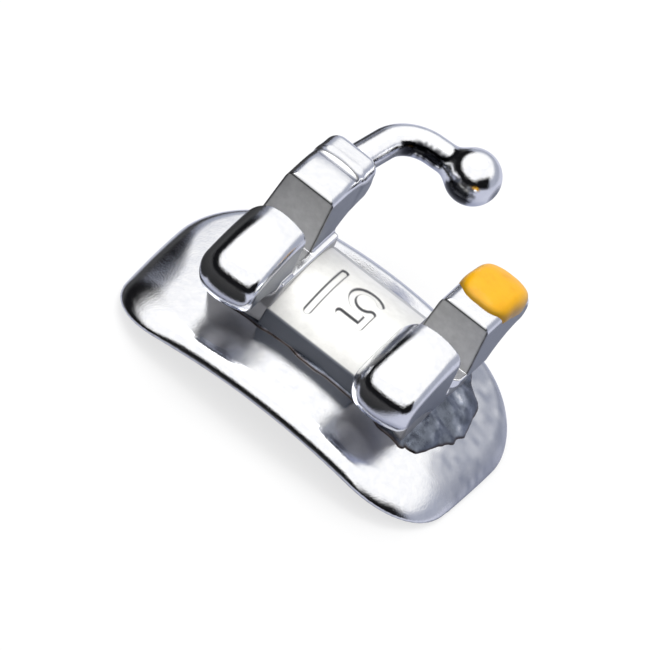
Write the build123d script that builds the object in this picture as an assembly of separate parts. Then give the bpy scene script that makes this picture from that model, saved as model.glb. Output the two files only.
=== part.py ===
from build123d import *
import os
from math import sqrt, tan, radians

# A twin metal bracket for bonding to a molar, with a ball hook on one wing.
# X runs along the archwire slot, +Y is the hook side, +Z points away from the tooth.
# Z = 0 is the lowest rim of the arched pad, and X = Y = 0 is under the middle of the slot.
# All sizes are in millimetres.

# Archwire slot
slot_width = 0.56
slot_depth = 0.77
slot_lead = 0.05

# Arched pad
base_radius = 7.0
pad_thickness = 0.25
pad_left = 2.47
pad_right = 2.52
pad_front = 1.76
pad_back = 1.88
pad_side_bow = 0.12
pad_end_bow = 0.06
corner_front_left = 0.85
corner_front_right = 1.10
corner_back_right = 1.25
corner_back_left = 1.35
rim_roll = 0.19
rim_width = 0.17
tray_depth = 0.10
seat_gap = 0.01

# Woven mesh in the tray under the pad
mesh_pitch = 0.42
wire_width = 0.17
wire_height = 0.075
wire_step = 0.025
mesh_clearance = 0.03

# Wings, the front noses wider and drooping lower than the rear ones
floor_over_crown = 0.85
wing_inner = 0.82
wing_outer = 1.66
wing_draft = 4.0
front_round = 0.20
front_left_bulge = 0.08
front_right_bulge = 0.13
front_top_drop = 0.09
front_shoulder = 0.60
front_reach = 1.45
front_nose_top = 0.40
front_lip_reach = 1.36
front_lip = -0.18
front_hollow = 0.36
rear_round = 0.13
rear_rise = 0.02
rear_shoulder = 0.90
rear_reach = 1.58
rear_nose_top = 0.58
rear_lip_reach = 1.52
rear_lip = 0.14
rear_hollow = 0.20
hollow_depth = 0.10

# The hooked wing stands taller, with a groove across it before the hook's block
hooked_rise = 0.10
hooked_shoulder = 0.62
hooked_shift = 0.03
groove_radius = 0.13
groove_depth = 0.045

# Stem under each wing pair
stem_inner = 0.76
stem_outer = 1.55
stem_front = 0.66
stem_back = 1.00
stem_waist = 0.10

# Saddle between the wing pairs, with its convex top
saddle_recess = 0.06
saddle_front = 0.70
saddle_front_drop = 0.31
saddle_back = 1.16
saddle_back_drop = 0.33
saddle_crest = 0.12

# Ball hook with the block that joins it to the rear left wing
arm_diameter = 0.41
ball_diameter = 0.75
hook_rise = 0.30
hook_root_inset = 0.12
hook_bend = (-1.06, 2.76, 0.49)
hook_ball = (-0.03, 2.71, 0.60)
hook_radius = 0.50
block_start = 1.05
block_end = 1.65
block_bottom = 0.10
block_top = 0.79
block_inset = 0.04
block_round = 0.18
block_tilt = 4.0

# Enamel drop on the nose of the rear right wing
drop_width = 0.76
drop_start = 0.48
drop_corner = 0.30
drop_height = 0.06
drop_shift = 0.02
drop_level = 0.55
drop_tilt = 14.0
drop_round = 0.045

# Braze that ran out round the foot, with a pool at the right end
braze_height = 0.05
braze_skirt = 0.08
pool_width = 1.00
pool_length = 1.80
pool_height = 0.36
pool_place = (1.52, 0.30)

# How far cutting shapes reach past what they cut
overrun = 0.5

pad_half = max(pad_left, pad_right)
arch_rise = base_radius - sqrt(base_radius ** 2 - pad_half ** 2)
arch_centre = arch_rise - base_radius
pad_crown = arch_rise + pad_thickness
slot_floor = arch_rise + floor_over_crown
wing_top = slot_floor + slot_depth
rear_top = wing_top + rear_rise
hooked_top = wing_top + hooked_rise
wing_middle = (wing_inner + wing_outer) / 2


def arch_slab(inner_radius, outer_radius):
    """The space between two cylinders that share the pad's axis, along Y."""
    depth = pad_front + pad_back
    with BuildPart() as slab:
        with BuildSketch(Plane.XZ):
            with Locations((0, arch_centre)):
                Circle(outer_radius)
                Circle(inner_radius, mode=Mode.SUBTRACT)
        extrude(amount=depth, both=True)
        with Locations((0, 0, arch_centre)):
            Box(4 * outer_radius, 4 * outer_radius, 2 * outer_radius,
                align=(Align.CENTER, Align.CENTER, Align.MAX), mode=Mode.SUBTRACT)
    return slab.part


def pad_outline(inset=0):
    """The pad seen from above, with bowed sides and four corner radii, moved in by inset."""
    left, right = pad_left - inset, pad_right - inset
    front, back = pad_front - inset, pad_back - inset
    front_left = (-left + pad_end_bow, -front + pad_side_bow)
    front_right = (right - pad_end_bow, -front + pad_side_bow)
    back_right = (right - pad_end_bow, back - pad_side_bow)
    back_left = (-left + pad_end_bow, back - pad_side_bow)
    middle = (back - front) / 2
    with BuildSketch() as sketch:
        with BuildLine():
            ThreePointArc(front_left, (0, -front), front_right)
            ThreePointArc(front_right, (right, middle), back_right)
            ThreePointArc(back_right, (0, back), back_left)
            ThreePointArc(back_left, (-left, middle), front_left)
        make_face()
        for corner, radius in ((front_left, corner_front_left), (front_right, corner_front_right),
                               (back_right, corner_back_right), (back_left, corner_back_left)):
            fillet(sketch.vertices().sort_by_distance(corner)[0], radius - inset)
    return sketch.sketch


def make_pad():
    """The domed pad with a rolled rim and a shallow tray underneath."""
    slab = arch_slab(base_radius, base_radius + pad_thickness)
    blank = extrude(pad_outline(), amount=pad_crown + overrun) & slab
    top = blank.faces().sort_by(Axis.Z)[-1]
    blank = fillet(top.edges(), rim_roll)
    tray = extrude(pad_outline(rim_width), amount=pad_crown + overrun)
    tray &= arch_slab(base_radius - overrun, base_radius + tray_depth)
    return blank - tray


def make_mesh():
    """Flattened wires that cross under the pad, the lengthwise ones standing proud."""
    top = base_radius + tray_depth - seat_gap
    inset = rim_width + mesh_clearance
    window = extrude(pad_outline(inset), amount=pad_crown)
    columns = int(((pad_left + pad_right - wire_width) / 2 - inset) / mesh_pitch)
    rows = int(((pad_front + pad_back - wire_width) / 2 - inset) / mesh_pitch)
    length = 2 * pad_half
    depth = 2 * pad_back
    middle = (pad_back - pad_front) / 2
    across = [Pos(step * mesh_pitch, middle, 0) * Box(wire_width, depth, 2 * pad_crown)
              for step in range(-columns, columns + 1)]
    along = [Pos(0, middle + step * mesh_pitch, 0) * Box(length, wire_width, 2 * pad_crown)
             for step in range(-rows, rows + 1)]
    warp = (Compound(across) & arch_slab(top - wire_height + wire_step, top)) & window
    weft = (Compound(along) & arch_slab(top - wire_height, top)) & window
    return warp + weft


def wing_profile(end, side):
    """The side view of a wing: its crown, its rounded nose and the hollow for a ligature."""
    if side < 0:
        top, shoulder = wing_top - front_top_drop, front_shoulder
        reach, nose_top, lip_reach, lip = front_reach, front_nose_top, front_lip_reach, front_lip
        hollow, waist = front_hollow, stem_front
    else:
        top, shoulder = (hooked_top, hooked_shoulder) if end < 0 else (rear_top, rear_shoulder)
        reach, nose_top, lip_reach, lip = rear_reach, rear_nose_top, rear_lip_reach, rear_lip
        hollow, waist = rear_hollow, stem_back
    start = (side * shoulder, top)
    under = (side * lip_reach, slot_floor + lip)
    neck = (side * (waist - stem_waist), slot_floor - hollow)
    with BuildSketch(Plane.YZ) as sketch:
        with BuildLine():
            crown = TangentArc(start, (side * reach, slot_floor + nose_top), tangent=(side, 0))
            TangentArc(crown @ 1, under, tangent=crown % 1)
            SagittaArc(under, neck, -side * hollow_depth)
            Polyline(neck, (0, slot_floor - hollow), (0, top), start)
        make_face()
    return sketch.sketch


def wing(end, side):
    """One tie wing: its side view cut by drafted flanks, with pillowed edges."""
    foot = slot_floor - front_hollow - overrun
    spread = tan(radians(wing_draft)) * (slot_floor - foot)
    if side < 0:
        bulge, edge_round = (front_left_bulge if end < 0 else front_right_bulge), front_round
    else:
        bulge, edge_round = 0, rear_round
    width = wing_outer - wing_inner + 2 * spread + bulge
    depth = 4 * rear_reach
    middle = end * wing_middle - bulge / 2
    if (end, side) == (-1, 1):
        middle -= hooked_shift
    flanks = extrude(Pos(middle, 0, foot) * Rectangle(width, depth),
                     amount=wing_top + overrun - foot, taper=wing_draft)
    blank = extrude(wing_profile(end, side), amount=2 * wing_outer, both=True) & flanks
    rounded = [edge for edge in blank.edges()
               if abs(edge.center().X - middle) > width / 4
               and abs(edge.center().Y) > slot_width
               and edge.center().Z > slot_floor + front_lip]
    return fillet(rounded, edge_round)


def stem(end):
    """The foot under one wing pair, its top being the floor of the slot."""
    with BuildSketch(Plane.YZ) as sketch:
        with BuildLine():
            Polyline((-stem_front, arch_rise), (stem_back, arch_rise),
                     (stem_back, slot_floor - rear_hollow),
                     (stem_back - stem_waist, slot_floor),
                     (-stem_front + stem_waist, slot_floor),
                     (-stem_front, slot_floor - front_hollow), close=True)
        make_face()
    slab = extrude(sketch.sketch, amount=stem_outer - stem_inner)
    return Pos(stem_inner if end > 0 else -stem_outer, 0, 0) * slab


def saddle():
    """The web between the wing pairs, its convex top sloping to both sides."""
    crest = slot_floor - saddle_recess
    front = (-saddle_front, crest - saddle_front_drop)
    back = (saddle_back, crest - saddle_back_drop)
    with BuildSketch(Plane.YZ) as sketch:
        with BuildLine():
            ThreePointArc(front, (saddle_crest, crest), back)
            Polyline(back, (saddle_back, arch_rise), (-saddle_front, arch_rise), front)
        make_face()
    return extrude(sketch.sketch, amount=stem_inner, both=True)


def slot_channel(end):
    """Half of the archwire slot, with a small lead-in along its mouth."""
    top = hooked_top if end < 0 else rear_top
    half = slot_width / 2
    mouth = half + slot_lead
    with BuildSketch(Plane.YZ) as sketch:
        with BuildLine():
            Polyline((-half, slot_floor), (half, slot_floor), (half, top - slot_lead),
                     (mouth, top), (mouth, top + overrun), (-mouth, top + overrun),
                     (-mouth, top), (-half, top - slot_lead), close=True)
        make_face()
    return extrude(sketch.sketch, amount=2 * end * wing_outer)


def hook_groove():
    """The shallow groove across the hooked wing, in front of the hook's block."""
    span = rear_reach - hooked_shoulder
    fall = hooked_top - slot_floor - rear_nose_top
    crown_radius = (span ** 2 + fall ** 2) / fall / 2
    level = hooked_top - crown_radius + sqrt(crown_radius ** 2 - (block_start - hooked_shoulder) ** 2)
    groove = Rot(0, 90, 0) * Cylinder(groove_radius, 2 * (wing_outer - wing_inner))
    return Pos(-wing_middle, block_start, level + groove_radius - groove_depth) * groove


def hook_block():
    """The thick end of the rear left wing, where the hook grows out of it."""
    width = wing_outer - wing_inner - 2 * block_inset
    place = Pos(-wing_middle - hooked_shift, block_start, slot_floor + block_bottom)
    place *= Rot(-block_tilt, 0, 0)
    block = place * Box(width, block_end - block_start, block_top - block_bottom,
                        align=(Align.CENTER, Align.MIN, Align.MIN))
    buried = block.faces().sort_by(Axis.Y)[0].edges()
    return fillet([edge for edge in block.edges() if edge not in buried], block_round)


def ball_hook():
    """The bent round arm of the hook and the ball at its end."""
    root = (-wing_middle - hook_root_inset, block_start + block_round, hook_rise)
    points = [(x, y, slot_floor + z) for x, y, z in (root, hook_bend, hook_ball)]
    path = FilletPolyline(*points, radius=hook_radius)
    arm = sweep(Plane(path @ 0, z_dir=path % 0) * Circle(arm_diameter / 2), path=path)
    return arm + Pos(*points[-1]) * Sphere(ball_diameter / 2)


def make_body():
    """The casting: wings, stems, saddle, slot and ball hook."""
    body = saddle()
    for end in (-1, 1):
        body += stem(end)
        for side in (-1, 1):
            body += wing(end, side)
    body += hook_block() + ball_hook()
    body -= slot_channel(-1) + slot_channel(1)
    body -= hook_groove()
    return body - arch_slab(overrun, base_radius + pad_thickness + seat_gap)


def make_drop(body):
    """A drop of enamel that follows the crown of the rear right wing over its nose."""
    skin = extrude(offset(wing_profile(1, 1), amount=drop_height), amount=2 * wing_outer, both=True)
    length = rear_reach + drop_height - drop_start
    place = Pos(wing_middle + drop_shift, drop_start + length / 2, slot_floor + drop_level)
    spot = place * Rot(-drop_tilt, 0, 0) * RectangleRounded(drop_width, length, drop_corner)
    drop = extrude(spot, amount=overrun) & skin
    top = [edge for edge in drop.edges()
           if edge.center().Z > slot_floor + drop_level + drop_height / 3]
    return fillet(top, drop_round) - body


def make_braze(body):
    """A thin skirt of braze round the foot, with a low pool at the right end."""
    length = 2 * (stem_outer + braze_skirt)
    depth = stem_front + saddle_back + 2 * braze_skirt
    skirt = Pos(0, (saddle_back - stem_front) / 2) * RectangleRounded(length, depth, 2 * braze_skirt)
    top = base_radius + pad_thickness + seat_gap
    braze = extrude(skirt, amount=slot_floor) & arch_slab(top, top + braze_height)
    pool = scale(Sphere(1), by=(pool_width / 2, pool_length / 2, pool_height / 2))
    level = arch_centre + sqrt(top ** 2 - pool_place[0] ** 2)
    pool = Pos(*pool_place, level) * pool
    return braze + (pool - arch_slab(overrun, top)) - body


def save(name, part):
    """Write one piece to its own file."""
    export_step(Compound(part.solids()), f"parts/{name}.step")
    print(name, round(part.volume, 4), "cubic mm")


if __name__ == "__main__":
    os.makedirs("parts", exist_ok=True)
    body = make_body()
    save("bracket_body", body)
    save("base_pad", make_pad())
    save("bonding_mesh", make_mesh())
    save("colour_mark", make_drop(body))
    save("braze_skirt", make_braze(body))
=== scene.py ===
import logging
import math
from dataclasses import dataclass
from enum import Enum
from functools import cache, cached_property
from typing import ClassVar, Iterable, Sequence

import bpy
import numpy as np
import openvdb
from mathutils import Matrix, Vector


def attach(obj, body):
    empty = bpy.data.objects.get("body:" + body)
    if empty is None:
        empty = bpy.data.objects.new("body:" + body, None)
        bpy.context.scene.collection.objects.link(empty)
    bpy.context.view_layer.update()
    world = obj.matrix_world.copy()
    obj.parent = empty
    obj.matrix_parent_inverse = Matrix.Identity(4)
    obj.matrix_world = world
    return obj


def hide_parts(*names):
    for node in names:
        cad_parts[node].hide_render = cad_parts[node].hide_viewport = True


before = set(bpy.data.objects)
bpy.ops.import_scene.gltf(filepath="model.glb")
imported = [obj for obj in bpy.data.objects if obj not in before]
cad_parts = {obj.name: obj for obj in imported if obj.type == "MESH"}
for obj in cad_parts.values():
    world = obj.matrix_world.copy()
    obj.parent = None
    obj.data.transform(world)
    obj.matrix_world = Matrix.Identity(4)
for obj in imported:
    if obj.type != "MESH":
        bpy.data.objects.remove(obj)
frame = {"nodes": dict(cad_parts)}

log = logging.getLogger("bracket")
MM = 0.001
FAR = 9.0
Grid = np.ndarray
Point = tuple[float, float]
Point3 = tuple[float, float, float]
Circle = tuple[float, float, float]
Colour = tuple[float, float, float, float]
Socket = bpy.types.NodeSocket
Value = Socket | float | Point3 | Colour


# The maths of shapes given by their distance: negative inside, in millimetres.

def round_and(a: Grid, b: Grid, radius: float) -> Grid:
    """What both shapes cover, with the edge between them rounded.

    Args:
        a, b: The two distances.
        radius: The radius of the edge.
    Returns:
        The distance to what they share.
    """
    a, b = a + radius, b + radius
    inside = np.minimum(np.maximum(a, b), 0)
    return inside + np.hypot(np.maximum(a, 0), np.maximum(b, 0)) - radius


def blend_or(a: Grid, b: Grid, width: float) -> Grid:
    """Both shapes as one, with a hollow fillet about that wide where they meet.

    Args:
        a, b: The two distances.
        width: The width of the fillet.
    Returns:
        The distance to the joined shape.
    """
    near = np.maximum(width - np.abs(a - b), 0) / width
    return np.minimum(a, b) - near * near * (width / 4)


def blend_cut(a: Grid, b: Grid, width: float) -> Grid:
    """Shape a without shape b, with an eased edge round the cut."""
    return -blend_or(-a, b, width)


def outline_distance(u: Grid, v: Grid, outline: Sequence[Point]) -> Grid:
    """The distance to a closed outline in a plane, negative inside it.

    Args:
        u, v: The coordinates in the plane.
        outline: The corners, in order.
    Returns:
        The signed distance.
    """
    closed = [*outline, outline[0]]
    inside = np.zeros(np.broadcast(u, v).shape, bool)
    for (ax, ay), (bx, by) in zip(closed, closed[1:]):
        above, below, left = v >= ay, v < by, (bx - ax) * (v - ay) > (by - ay) * (u - ax)
        inside ^= (above & below & left) | ~(above | below | left)
    return stroke_distance(u, v, closed) * np.where(inside, -1, 1)


def stroke_distance(u: Grid, v: Grid, path: Sequence[Point]) -> Grid:
    """The distance to an open line in a plane.

    Args:
        u, v: Where the points lie.
        path: The line's corners, in order.
    Returns:
        The distance.
    """
    best = np.full(np.broadcast(u, v).shape, FAR * FAR)
    for (ax, ay), (bx, by) in zip(path, path[1:]):
        ex, ey = bx - ax, by - ay
        wx, wy = u - ax, v - ay
        share = np.clip((wx * ex + wy * ey) / (ex * ex + ey * ey), 0, 1)
        best = np.minimum(best, (wx - ex * share) ** 2 + (wy - ey * share) ** 2)
    return np.sqrt(best)


def smooth_step(value: Grid, start: float, end: float) -> Grid:
    """A value's way from start to end as a share, easing in and out."""
    share = np.clip((value - start) / (end - start), 0, 1)
    return share * share * (3 - 2 * share)


def lumps(x: Grid, y: Grid, size: float, seed: int) -> Grid:
    """Random soft lumps between -1 and 1, about one size across, the same on every run.

    Args:
        x, y: Where the points lie.
        size: About how wide one lump is.
        seed: Which random lumps.
    Returns:
        The height of the lumps at each point.
    """
    lattice = np.random.default_rng(seed).uniform(-1, 1, (64, 64))
    u, v = x / size + 31.4, y / size + 27.2
    i, j = np.floor(u).astype(int), np.floor(v).astype(int)
    s, t = u - i, v - j
    s, t = s * s * (3 - 2 * s), t * t * (3 - 2 * t)
    i, j = i % 63, j % 63
    near = lattice[i, j] * (1 - s) + lattice[i + 1, j] * s
    far = lattice[i, j + 1] * (1 - s) + lattice[i + 1, j + 1] * s
    return near * (1 - t) + far * t


def tangent_arc(start: Point, end: Point, tangent: Point, steps: int = 36) -> tuple[list[Point], Point]:
    """Points along the arc that leaves start in a given direction and reaches end.

    Args:
        start, end: The arc's ends.
        tangent: The direction at the start, of length 1.
        steps: How many chords stand for the arc.
    Returns:
        The points, and the direction at the end.
    """
    cx, cy = end[0] - start[0], end[1] - start[1]
    turn = 2 * math.atan2(tangent[0] * cy - tangent[1] * cx, tangent[0] * cx + tangent[1] * cy)
    radius = math.hypot(cx, cy) / (2 * math.sin(turn / 2))
    points = []
    for step in range(steps + 1):
        angle = turn * step / steps
        along, aside = radius * math.sin(angle), radius * (1 - math.cos(angle))
        points.append((start[0] + along * tangent[0] - aside * tangent[1],
                       start[1] + along * tangent[1] + aside * tangent[0]))
    leaving = (tangent[0] * math.cos(turn) - tangent[1] * math.sin(turn),
               tangent[0] * math.sin(turn) + tangent[1] * math.cos(turn))
    return points, leaving


def bowed(start: Point, end: Point, rise: float, steps: int = 16) -> list[Point]:
    """Points along an arc from start to end whose middle lies rise above the chord.

    Args:
        start, end: The two ends.
        rise: How far the middle lies above the chord.
        steps: How many chords stand for the arc.
    Returns:
        The points.
    """
    cx, cy = end[0] - start[0], end[1] - start[1]
    length = math.hypot(cx, cy)
    half = 2 * math.atan(2 * rise / length)
    side = 1 if cx > 0 else -1
    leave = math.atan2(cy, cx) + side * half
    return tangent_arc(start, end, (math.cos(leave), math.sin(leave)), steps)[0]


# Meshes

def sample_axes(low: Point3, high: Point3, pitch: float) -> list[Grid]:
    """The three sampling axes of a box, with a little room round it."""
    return [np.arange(a - 3 * pitch, b + 4 * pitch, pitch) for a, b in zip(low, high)]


def at_points(values: Grid, points: Grid) -> Grid:
    """The values of a sampled grid at points given in cells, blended between the samples.

    Args:
        values: The sampled grid.
        points: The points.
    Returns:
        The value at each point.
    """
    top = np.array(values.shape) - 2
    cell = np.clip(np.floor(points).astype(int), 0, top)
    share = points - cell
    total = np.zeros(len(points))
    for dx in (0, 1):
        for dy in (0, 1):
            for dz in (0, 1):
                weight = (np.where(dx, share[:, 0], 1 - share[:, 0])
                          * np.where(dy, share[:, 1], 1 - share[:, 1])
                          * np.where(dz, share[:, 2], 1 - share[:, 2]))
                total += weight * values[cell[:, 0] + dx, cell[:, 1] + dy, cell[:, 2] + dz]
    return total


def skin_mesh(name: str, form: "SubAssembly") -> bpy.types.Object:
    """The even, fine skin of a shape given by its distance.

    Args:
        name: The piece's name.
        form: Anything with distance(x, y, z), box() and pitch.
    Returns:
        The new object, in metres, with the shape's own normals.
    """
    low, high = form.box()
    ax, ay, az = sample_axes(low, high, form.pitch)
    values = np.asarray(form.distance(ax[:, None, None], ay[None, :, None], az[None, None, :]), np.float32)
    grid = openvdb.FloatGrid(4 * form.pitch)
    grid.copyFromArray(np.clip(values, -3 * form.pitch, 3 * form.pitch))
    points, quads = grid.convertToQuads(0.0)
    points = points.astype(float)
    slopes = np.gradient(values)
    normals = np.stack([at_points(s, points) for s in slopes], axis=1)
    lengths = np.maximum(np.linalg.norm(normals, axis=1, keepdims=True), 1e-9)
    points -= at_points(values, points)[:, None] * normals / lengths ** 2
    normals = normals / lengths
    places = points * form.pitch + np.array([ax[0], ay[0], az[0]])
    made = make_object(name, places, quads, normals)
    # Per-point maps: painted shade and painted reflections on the metal, a real edge tint on the enamel and
    # the braze.
    for map_name in ("tint_and_painted_shade", "shade_and_dull_skin"):
        if hasattr(form, map_name):
            layer = made.data.attributes.new(map_name, "FLOAT", "POINT")
            layer.data.foreach_set("value", getattr(form, map_name)(*places.T).astype(np.float32))
    return made


def make_object(name: str, points: Iterable, faces: Iterable,
                normals: Grid | None = None) -> bpy.types.Object:
    """A smooth-shaded mesh object from points in millimetres.

    Args:
        name: The object's name.
        points: The points.
        faces: The faces, as rows of corners.
        normals: The points' own normals, if they have any.
    Returns:
        The new object.
    """
    mesh = bpy.data.meshes.new(name)
    points = np.asarray(points, float) * MM
    mesh.from_pydata(points.tolist(), [], [tuple(int(i) for i in f) for f in faces])
    mesh.shade_smooth()
    mesh.validate()
    if normals is not None:
        mesh.normals_split_custom_set_from_vertices(normals.tolist())
    made = bpy.data.objects.new(name, mesh)
    bpy.context.scene.collection.objects.link(made)
    log.info("%s: %d faces", name, len(mesh.polygons))
    return made


def centres(made: bpy.types.Object) -> tuple[Grid, Grid]:
    """The faces' middles in millimetres, and their normals.

    Args:
        made: The object.
    Returns:
        The middles and the normals.
    """
    count = len(made.data.polygons)
    places, normals = np.empty(count * 3, np.float32), np.empty(count * 3, np.float32)
    made.data.polygons.foreach_get("center", places)
    made.data.polygons.foreach_get("normal", normals)
    return places.reshape(-1, 3) / MM, normals.reshape(-1, 3)


# Materials and finishes

def linear(code: str) -> Colour:
    """An sRGB hex colour as Blender's linear colour, with an opacity of 1."""
    parts = [int(code[i:i + 2], 16) / 255 for i in (1, 3, 5)]
    return (*(p / 12.92 if p <= 0.04045 else ((p + 0.055) / 1.055) ** 2.4 for p in parts), 1.0)


def span(value: Socket, start: float, end: float, low: float = 0.0, high: float = 1.0) -> dict[str, Value]:
    """The inputs of a range in which start gives low and end gives high."""
    return {"Value": value, "From Min": start, "From Max": end, "To Min": low, "To Max": high}


class Paint:
    """The node tree of one material or of the world."""

    def __init__(self, name: str, world: bool = False) -> None:
        """Start an empty tree.

        Args:
            name: The name of the new material or world.
            world: Whether the tree is the world's.
        """
        self.owner = bpy.data.worlds.new(name) if world else bpy.data.materials.new(name)
        self.owner.use_nodes = True
        self.tree = self.owner.node_tree
        self.tree.nodes.clear()

    def add(self, kind: str, inputs: dict[int | str, Value] | None = None, out: int | str = 0,
            stops: Sequence[tuple[float, str]] = (), ease: str = "LINEAR", **settings: str) -> Socket | None:
        """Add a node with its settings, values and links.

        Args:
            kind: Blender's name for the node.
            inputs: For each input, the output to link to it or the value to set.
            out: Which output is wanted.
            stops: The places and hex colours along a colour ramp.
            ease: How the ramp runs between them.
            settings: The node's own properties.
        Returns:
            The wanted output, or None where the node has no output.
        """
        node = self.tree.nodes.new(kind)
        for key, value in settings.items():
            setattr(node, key, value)
        for key, value in (inputs or {}).items():
            if isinstance(value, bpy.types.NodeSocket):
                self.tree.links.new(value, node.inputs[key])
            else:
                node.inputs[key].default_value = value
        if stops:
            ramp = node.color_ramp
            ramp.interpolation = ease
            while len(ramp.elements) < len(stops):
                ramp.elements.new(0.5)
            for element, (place, code) in zip(ramp.elements, stops):
                element.position, element.color = place, linear(code)
        return node.outputs[out] if len(node.outputs) else None

    def mottle(self, size: float, detail: float, rough: float, stretch: Point3 = (1, 1, 1)) -> Socket:
        """A random pattern in the part's own space.

        Args:
            size: About how wide its lumps are, in millimetres.
            detail: How many finer layers lie over them.
            rough: How strong the finer layers are.
            stretch: How much it is squeezed along each axis.
        Returns:
            The pattern, from 0 to 1.
        """
        place = self.add("ShaderNodeMapping", {"Vector": self.add("ShaderNodeTexCoord", out="Object"),
                                               "Scale": stretch})
        return self.add("ShaderNodeTexNoise", {"Vector": place, "Scale": 1 / (size * MM),
                                               "Detail": detail, "Roughness": rough}, "Fac")

    def facing(self, axis: str) -> Socket:
        """How much the surface faces along an axis, from -1 to 1."""
        normal = self.add("ShaderNodeNewGeometry", out="Normal")
        return self.add("ShaderNodeSeparateXYZ", {"Vector": normal}, axis)

    def coats(self, tone: Socket, layers: Sequence[tuple[Socket, str]]) -> Socket:
        """Lay colours over a colour.

        Args:
            tone: The first colour.
            layers: For each layer, how much it covers and its hex colour.
        Returns:
            The colour that shows.
        """
        for share, code in layers:
            tone = self.add("ShaderNodeMix", {0: share, 6: tone, 7: linear(code)}, 2, data_type="RGBA")
        return tone

    def finished(self, **inputs: Value) -> bpy.types.Material:
        """Give the surface its properties and close the tree.

        Args:
            inputs: The properties by name, with an underscore for each space.
        Returns:
            The material.
        """
        named = {key.replace("_", " "): value for key, value in inputs.items()}
        self.add("ShaderNodeOutputMaterial", {"Surface": self.add("ShaderNodeBsdfPrincipled", named)})
        return self.owner


@dataclass(frozen=True)
class MetalFinish:
    """A bare metal with fine grain and a slow swell. Sizes are in millimetres.

    The grain is drawn coarser than real polishing marks, so that it still shows.
    """
    name: str
    light: str
    dark: str
    rough_low: float
    rough_high: float
    grain: float
    grain_lift: float
    swell: float
    swell_lift: float
    # Down-facing faces take this colour, a painted reflection of the pale floor.
    under: str = "#BEC2D0"
    # Faces turned along X take this colour, painted shade on a finish that is duller there too.
    flank: str = "#8F939D"
    # This colour is painted shade on the stems, under the wings and on the saddle's upright faces, and a
    # painted reflection on the pad's right end; those faces are duller too.
    shade_and_dull_skin: str = "#98999F"
    # This colour is painted shade along creases and borders, and a painted dark reflection on the hook.
    painted_shade: str = "#2E2F33"
    dull_rough: float = 0.25
    dull_metallic: float = 0.4
    metallic: float = 1.0
    stretch: Point3 = (1, 1, 1)
    cloud: float = 0.12
    wear: float = 0.09
    flank_facing: Point = (0.90, 0.985)
    under_facing: Point = (-0.10, -0.45)

    def material(self) -> bpy.types.Material:
        """The material, duller where polishing stones don't reach, with painted shade and a painted floor
        reflection laid into its colour.

        Returns:
            The new material.
        """
        paint = Paint(self.name)
        grain = paint.mottle(self.grain, 4, 0.6, self.stretch)
        swell = paint.mottle(self.swell, 2, 0.5)
        tone = paint.add("ShaderNodeValToRGB", {"Fac": paint.mottle(self.cloud, 4, 0.6)},
                         stops=[(0.3, self.dark), (0.7, self.light)])
        # Painted shade on the faces turned along X, which are also duller.
        side = paint.add("ShaderNodeMath", {0: paint.facing("X")}, operation="ABSOLUTE")
        flank = paint.add("ShaderNodeMapRange", span(side, *self.flank_facing))
        # A painted floor reflection on the faces turned down.
        under = paint.add("ShaderNodeMapRange", span(paint.facing("Z"), *self.under_facing))
        # The mesh's two maps lay painted shade and painted reflections over the tone.
        shade_and_dull_skin = paint.add("ShaderNodeAttribute", out="Fac", attribute_name="shade_and_dull_skin")
        tint_and_painted_shade = paint.add("ShaderNodeAttribute", out="Fac", attribute_name="tint_and_painted_shade")
        tone = paint.coats(tone, [(under, self.under), (flank, self.flank), (shade_and_dull_skin, self.shade_and_dull_skin),
                                  (tint_and_painted_shade, self.painted_shade)])
        dull = paint.add("ShaderNodeMath", {0: flank, 1: shade_and_dull_skin}, operation="MAXIMUM")
        metallic = paint.add("ShaderNodeMapRange", span(dull, 0.0, 1.0, self.metallic,
                                                        self.dull_metallic * self.metallic))
        rough = paint.add("ShaderNodeMapRange", span(paint.mottle(self.wear, 5, 0.7), 0.0, 1.0,
                                                     self.rough_low, self.rough_high))
        rough = paint.add("ShaderNodeMath", {0: dull, 1: self.dull_rough, 2: rough},
                          operation="MULTIPLY_ADD")
        lift = paint.add("ShaderNodeBump", {"Height": swell, "Strength": 1.0,
                                            "Distance": self.swell_lift * MM})
        fine = paint.add("ShaderNodeBump", {"Height": grain, "Strength": 1.0,
                                            "Distance": self.grain_lift * MM, "Normal": lift})
        return paint.finished(Base_Color=tone, Metallic=metallic, Roughness=rough, Normal=fine)


@dataclass(frozen=True)
class EnamelFinish:
    """Glossy stoved enamel: deep yellow, and browner where it thins out at its edge."""
    stops: tuple[tuple[float, str], ...] = ((0.25, "#EBA608"), (0.5, "#F7B510"), (0.8, "#FCBF1C"))
    thin: str = "#B98A12"
    cloud: float = 0.35
    ripple: float = 0.16
    ripple_lift: float = 0.006

    def material(self) -> bpy.types.Material:
        """The material, with a weak clear coat over soft ripples.

        Returns:
            The new material.
        """
        paint = Paint("yellow_stoved_enamel")
        tone = paint.add("ShaderNodeValToRGB", {"Fac": paint.mottle(self.cloud, 3, 0.5)},
                         stops=self.stops, ease="EASE")
        tint_and_painted_shade = paint.add("ShaderNodeAttribute", out="Fac", attribute_name="tint_and_painted_shade")
        bump = paint.add("ShaderNodeBump", {"Height": paint.mottle(self.ripple, 2, 0.5),
                                            "Distance": self.ripple_lift * MM})
        return paint.finished(Base_Color=paint.coats(tone, [(tint_and_painted_shade, self.thin)]), Roughness=0.35,
                              Specular_IOR_Level=0.2, Coat_Weight=0.12, Coat_Roughness=0.06, Normal=bump)


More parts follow.
